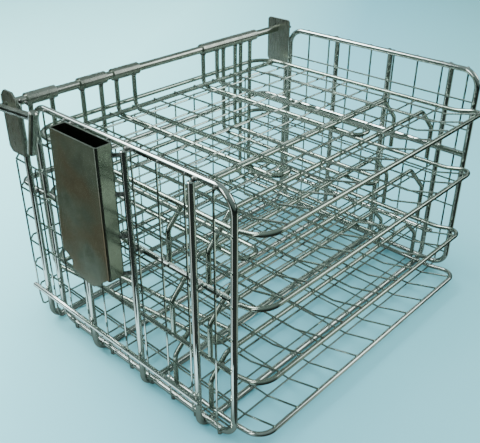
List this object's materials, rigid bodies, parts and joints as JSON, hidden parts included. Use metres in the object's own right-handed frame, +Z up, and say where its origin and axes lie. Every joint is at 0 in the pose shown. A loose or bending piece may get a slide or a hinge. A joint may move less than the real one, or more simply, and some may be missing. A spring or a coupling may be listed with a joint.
{
  "type": "wire washer rack",
  "caption": "Open-front stainless wire rack with hinged wire shelves that swing up about one rear rod, side runners and a sheet pocket.",
  "frame": {"origin": "bottom centre of the whole rack's box, on the surface its feet stand on", "axes": "+X along the width to the right seen from the open front, +Y from the open front to the hinge side, +Z up"},
  "size_m": [0.5463, 0.4307, 0.3406],
  "materials": {
    "mesh_wire": "bright electropolished stainless wire",
    "frame_rod": "bright electropolished stainless rod",
    "shelf_rod": "satin stainless rod, duller than the basket's",
    "shelf_wire": "satin stainless wire, duller than the basket's",
    "hinge_steel": "satin stainless rod",
    "hinge_sleeve": "satin stainless tube",
    "bracket_plate": "satin stainless plate",
    "pocket_sheet": "brushed stainless sheet with a faint brown heat stain",
    "weld_metal": "dull weld metal"
  },
  "bodies": {
    "basket": {"side_loop_left": "frame_rod", "side_loop_right": "frame_rod", "side_uprights_left": "mesh_wire", "side_uprights_right": "mesh_wire", "side_wires_left": "mesh_wire", "side_wires_right": "mesh_wire", "stiffener_left": "frame_rod", "stiffener_right": "frame_rod", "stiffener_rear": "frame_rod", "runner_left": "frame_rod", "runner_right": "frame_rod", "u_rod_1": "frame_rod", "u_rod_2": "frame_rod", "u_rod_3": "frame_rod", "u_rod_4": "frame_rod", "rear_wires": "mesh_wire", "rear_uprights": "mesh_wire", "base_cross_wires": "mesh_wire", "base_long_wires": "mesh_wire", "base_front_rail": "frame_rod", "bracket_plate_left": "bracket_plate", "bracket_plate_right": "bracket_plate", "hinge_rod": "hinge_steel", "hook_rod": "hinge_steel", "pocket_shell": "pocket_sheet", "pocket_standoffs": "weld_metal"},
    "shelf_bottom": {"bottom_frame": "shelf_rod", "bottom_rear_rod": "shelf_rod", "bottom_long_wires": "shelf_wire", "bottom_cross_wires": "shelf_wire", "bottom_front_legs": "shelf_rod", "bottom_rear_legs": "shelf_rod", "bottom_sleeves": "hinge_sleeve", "bottom_arm_left": "shelf_rod", "bottom_arm_right": "shelf_rod"},
    "shelf_middle": {"middle_frame": "shelf_rod", "middle_rear_rod": "shelf_rod", "middle_long_wires": "shelf_wire", "middle_cross_wires": "shelf_wire", "middle_front_legs": "shelf_rod", "middle_rear_legs": "shelf_rod", "middle_sleeves": "hinge_sleeve", "middle_arm_left": "shelf_rod", "middle_arm_right": "shelf_rod"},
    "shelf_top": {"top_frame": "shelf_rod", "top_rear_rod": "shelf_rod", "top_long_wires": "shelf_wire", "top_cross_wires": "shelf_wire", "top_front_legs": "shelf_rod", "top_rear_legs": "shelf_rod", "top_sleeves": "hinge_sleeve", "top_arm_left": "shelf_rod", "top_arm_right": "shelf_rod"}
  },
  "joints": [
    {"name": "bottom_shelf_hinge", "type": "hinge", "parent": "basket", "child": "shelf_bottom", "pos_m": [0.00992, 0.17879, 0.3222], "axis": [-1, 0, 0], "range_deg": [0, 90]},
    {"name": "middle_shelf_hinge", "type": "hinge", "parent": "shelf_bottom", "child": "shelf_middle", "pos_m": [0.00992, 0.17879, 0.3222], "axis": [-1, 0, 0], "range_deg": [0, 3]},
    {"name": "top_shelf_hinge", "type": "hinge", "parent": "shelf_middle", "child": "shelf_top", "pos_m": [0.00992, 0.17879, 0.3222], "axis": [-1, 0, 0], "range_deg": [0, 5]}
  ]
}
